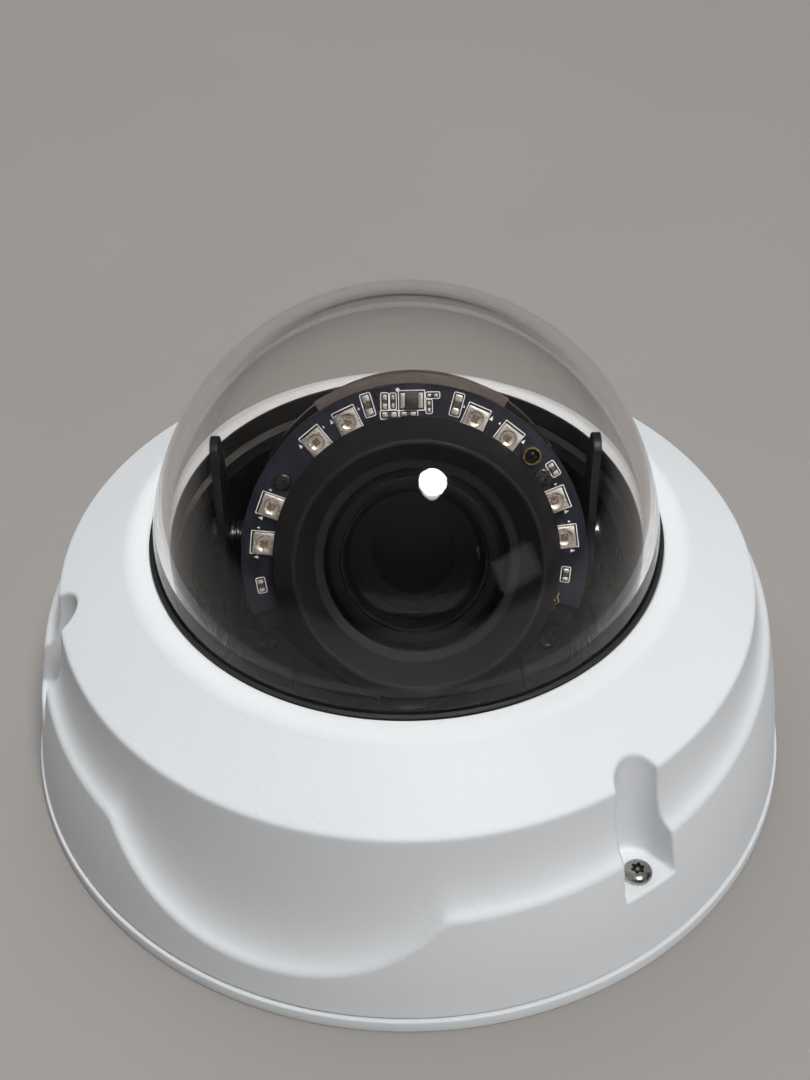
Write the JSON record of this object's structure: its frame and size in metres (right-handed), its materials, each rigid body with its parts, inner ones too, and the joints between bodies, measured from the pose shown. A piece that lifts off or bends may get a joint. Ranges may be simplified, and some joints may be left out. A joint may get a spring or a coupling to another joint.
{
  "type": "fixed dome security camera",
  "caption": "Round white vandal-resistant dome camera: cast cover on a flat mounting base, clear bubble, and a hand-set pan, tilt and rotate gimbal carrying a lens with an infrared LED board.",
  "frame": {"origin": "centre of the mounting base's flat underside, on the pan axis", "axes": "+Z out of the mounting surface towards the dome, -Y the direction the lens looks at rest, +X to the right seen from the front"},
  "size_m": [0.16, 0.16, 0.1047],
  "materials": {
    "white_shell": "fine textured powder coat",
    "white_base": "fine textured powder coat",
    "black_rubber": "matte moulded rubber",
    "clear_dome": "clear polished polycarbonate bubble",
    "black_plastic": "satin moulded",
    "frame_plastic": "fine moulded grain",
    "screw_steel": "bright steel",
    "dark_steel": "blackened steel",
    "board_green": "solder mask",
    "board_black": "black solder mask",
    "led_white": "moulded package with clear lens",
    "lens_black": "black anodised",
    "lens_glass": "coated optical glass",
    "chip_black": "moulded package",
    "socket_metal": "plated sheet shield",
    "sensor_brass": "polished ring",
    "button_red": "moulded"
  },
  "bodies": {
    "housing": {"mounting_base": "white_base", "base_seal": "black_rubber", "top_cover": "white_shell", "cover_screw_1": "screw_steel", "cover_screw_2": "screw_steel", "cover_screw_3": "screw_steel", "dome_bubble": "clear_dome", "dome_gasket": "black_rubber", "dome_clamp_ring": "dark_steel", "clamp_screw_1": "dark_steel", "clamp_screw_2": "dark_steel", "clamp_screw_3": "dark_steel", "inner_liner": "black_plastic", "main_board": "board_green", "board_screw_1": "screw_steel", "board_screw_2": "screw_steel", "board_screw_3": "screw_steel", "network_socket": "socket_metal", "card_slot": "socket_metal", "reset_switch": "chip_black", "cable_grommet": "black_rubber", "pan_base": "frame_plastic", "pan_base_screw_1": "screw_steel", "pan_base_screw_2": "screw_steel", "pan_base_screw_3": "screw_steel"},
    "pan": {"pan_platform": "frame_plastic", "pan_retainer_ring": "black_plastic", "tilt_bracket_left": "frame_plastic", "tilt_bracket_right": "frame_plastic", "bracket_screw_left": "dark_steel", "bracket_screw_right": "dark_steel"},
    "tilt": {"tilt_cradle": "frame_plastic", "roll_retaining_ring": "black_plastic", "pivot_screw_left": "dark_steel", "pivot_screw_right": "dark_steel", "pivot_spacer_left": "dark_steel"},
    "camera": {"roll_carrier": "frame_plastic", "sensor_board": "board_green", "lens_mount": "black_plastic", "lens_barrel": "lens_black", "front_lens_element": "lens_glass", "led_holder": "black_plastic", "led_board": "board_black", "ir_shroud": "black_rubber", "ir_led_1": "led_white", "ir_led_2": "led_white", "ir_led_3": "led_white", "ir_led_4": "led_white", "ir_led_5": "led_white", "ir_led_6": "led_white", "ir_led_7": "led_white", "ir_led_8": "led_white", "light_sensor": "sensor_brass", "led_driver_chip": "chip_black", "led_board_screw_1": "dark_steel", "led_board_screw_2": "dark_steel"},
    "zoom": {"zoom_ring": "black_plastic"},
    "focus": {"focus_ring": "black_plastic"},
    "reset": {"reset_button": "button_red"}
  },
  "joints": [
    {"name": "camera_pan", "type": "hinge", "parent": "housing", "child": "pan", "pos_m": [0, 0, 0.0543], "axis": [0, 0, 1], "range_deg": [-177.5, 177.5]},
    {"name": "camera_tilt", "type": "hinge", "parent": "pan", "child": "tilt", "pos_m": [0, 0, 0.0543], "axis": [1, 0, 0], "range_deg": [-56, 22]},
    {"name": "lens_rotation", "type": "hinge", "parent": "tilt", "child": "camera", "pos_m": [0.0014, 0, 0.0543], "axis": [0, -0.848, 0.5299], "range_deg": [-95, 95]},
    {"name": "zoom_turn", "type": "hinge", "parent": "camera", "child": "zoom", "pos_m": [0.0014, 0, 0.0543], "axis": [0, -0.848, 0.5299], "range_deg": [-45, 45]},
    {"name": "focus_turn", "type": "hinge", "parent": "camera", "child": "focus", "pos_m": [0.0014, 0, 0.0543], "axis": [0, -0.848, 0.5299], "range_deg": [-45, 45]},
    {"name": "reset_press", "type": "slide", "parent": "housing", "child": "reset", "axis": [0, 0, -1], "range_m": [0, 0.0006], "stiffness_N_per_m": 2500}
  ]
}
